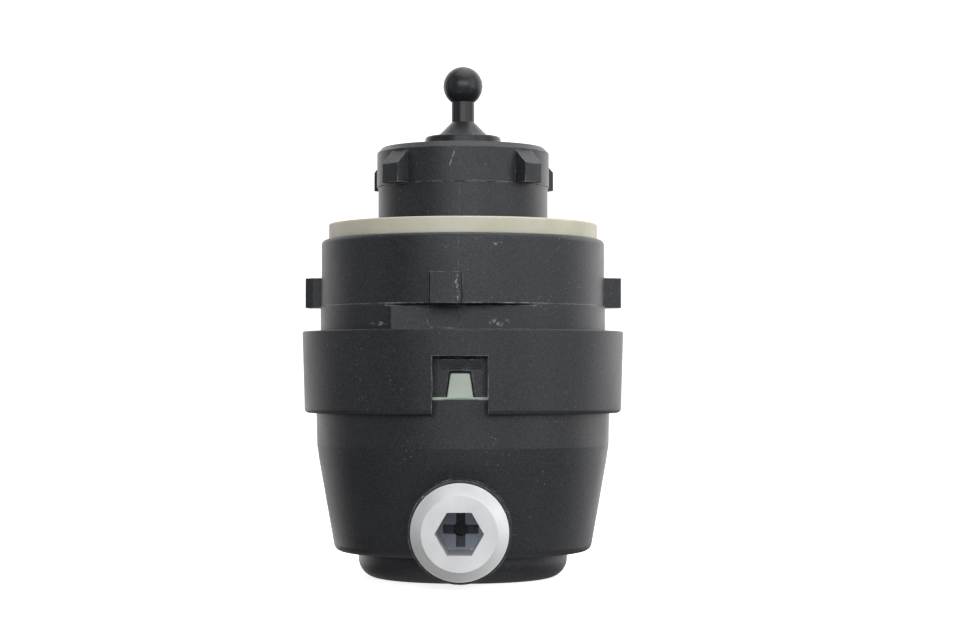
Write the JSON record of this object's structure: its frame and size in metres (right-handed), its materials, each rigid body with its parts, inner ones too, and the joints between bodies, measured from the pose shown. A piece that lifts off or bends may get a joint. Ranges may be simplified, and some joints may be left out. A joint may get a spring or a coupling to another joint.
{
  "type": "headlamp levelling actuator",
  "caption": "Round motor actuator that tilts a headlamp: ball-head push rod, bayonet neck, sealing ring, rear socket and hex hand adjuster.",
  "frame": {"origin": "centre of the flat base, on the push rod's axis", "axes": "+Z along the push rod towards its ball; -Y towards the hand adjuster; +Y towards the rear socket"},
  "size_m": [0.0666, 0.0797, 0.1062],
  "materials": {
    "black_housing": "fine moulded texture, satin",
    "black_rod": "smooth satin",
    "cream_seal": "slightly translucent silicone",
    "grey_gasket": "matt silicone",
    "white_adjuster": "satin",
    "dark_core": "satin",
    "gear_plastic": "satin acetal",
    "frame_plastic": "glass-filled, matt",
    "steel": "ground",
    "bearing_bronze": "sintered bronze",
    "copper_wire": "enamelled copper",
    "ferrite": "sintered ferrite",
    "carbon": "matt carbon",
    "tinned_brass": "tinned",
    "black_rubber": "matt",
    "board_laminate": "solder-resist green",
    "chip_black": "matt epoxy",
    "component_tan": "ceramic"
  },
  "bodies": {
    "housing": {"upper_housing": "black_housing", "pot_housing": "black_housing", "housing_gasket": "grey_gasket", "mount_seal_ring": "cream_seal", "guide_bush": "black_rod", "rod_lip_seal": "black_rubber", "drive_pivot_pin": "steel", "thrust_washers": "steel", "gear_axles": "steel", "chassis_plate": "frame_plastic", "gear_cover": "frame_plastic", "chassis_screws": "steel", "cover_screws": "steel", "motor_can": "steel", "motor_end_cap": "frame_plastic", "motor_bearings": "bearing_bronze", "motor_magnets": "ferrite", "motor_brushes": "carbon", "motor_terminals": "tinned_brass", "connector_pins": "tinned_brass", "circuit_board": "board_laminate", "driver_chip": "chip_black", "board_components": "component_tan", "resistance_tracks": "carbon"},
    "motor_rotor": {"motor_shaft": "steel", "motor_pinion": "gear_plastic", "armature_core": "steel", "armature_windings": "copper_wire", "commutator": "bearing_bronze"},
    "first_wheel": {"first_gear": "gear_plastic"},
    "second_wheel": {"second_gear": "gear_plastic"},
    "nut_wheel": {"nut_gear": "gear_plastic"},
    "sleeve": {"lift_sleeve": "gear_plastic", "wiper_spring": "bearing_bronze"},
    "ratchet": {"detent_ring": "gear_plastic"},
    "rod": {"push_rod": "black_rod"},
    "adjuster": {"adjuster_sleeve": "white_adjuster", "adjuster_o_ring": "black_rubber", "adjuster_pinion": "dark_core"},
    "drive": {"crown_gear": "gear_plastic", "hex_drive_rod": "steel"}
  },
  "joints": [
    {"name": "motor_spin", "type": "hinge", "parent": "housing", "child": "motor_rotor", "pos_m": [0.0164, 0, 0.02], "axis": [0, 0, 1], "range_deg": [0, 44064]},
    {"name": "first_gear_spin", "type": "hinge", "parent": "housing", "child": "first_wheel", "pos_m": [0.01347, -0.01133, 0.04], "axis": [0, 0, 1], "range_deg": [-13219.7, 0]},
    {"name": "second_gear_spin", "type": "hinge", "parent": "housing", "child": "second_wheel", "pos_m": [0.00207, -0.01748, 0.044], "axis": [0, 0, 1], "range_deg": [0, 4896.5]},
    {"name": "nut_gear_spin", "type": "hinge", "parent": "housing", "child": "nut_wheel", "pos_m": [0, 0, 0.0465], "axis": [0, 0, 1], "range_deg": [-1440.5, 0]},
    {"name": "sleeve_lift", "type": "slide", "parent": "housing", "child": "sleeve", "axis": [0, 0, 1], "range_m": [0, 0.00801]},
    {"name": "detent_ring_turn", "type": "hinge", "parent": "sleeve", "child": "ratchet", "pos_m": [0, 0, 0.056], "axis": [0, 0, 1], "range_deg": [0, 2160.5]},
    {"name": "push_rod_screw_out", "type": "slide", "parent": "ratchet", "child": "rod", "axis": [0, 0, 1], "range_m": [0, 0.00601]},
    {"name": "adjuster_turn", "type": "hinge", "parent": "housing", "child": "adjuster", "pos_m": [0, -0.03, 0.0114], "axis": [0, 1, 0], "range_deg": [0, 3600]},
    {"name": "hex_drive_turn", "type": "hinge", "parent": "housing", "child": "drive", "pos_m": [0, 0, 0.017], "axis": [0, 0, 1], "range_deg": [0, 2160.5]}
  ],
  "couplings": [
    {"joint": "first_gear_spin", "follows": "motor_spin", "ratio": -0.3},
    {"joint": "second_gear_spin", "follows": "motor_spin", "ratio": 0.11111},
    {"joint": "nut_gear_spin", "follows": "motor_spin", "ratio": -0.03268},
    {"joint": "sleeve_lift", "follows": "motor_spin", "m_per_rad": 0.000010402},
    {"joint": "hex_drive_turn", "follows": "adjuster_turn", "ratio": 0.6},
    {"joint": "detent_ring_turn", "follows": "adjuster_turn", "ratio": 0.6},
    {"joint": "push_rod_screw_out", "follows": "adjuster_turn", "m_per_rad": 0.000095493}
  ]
}
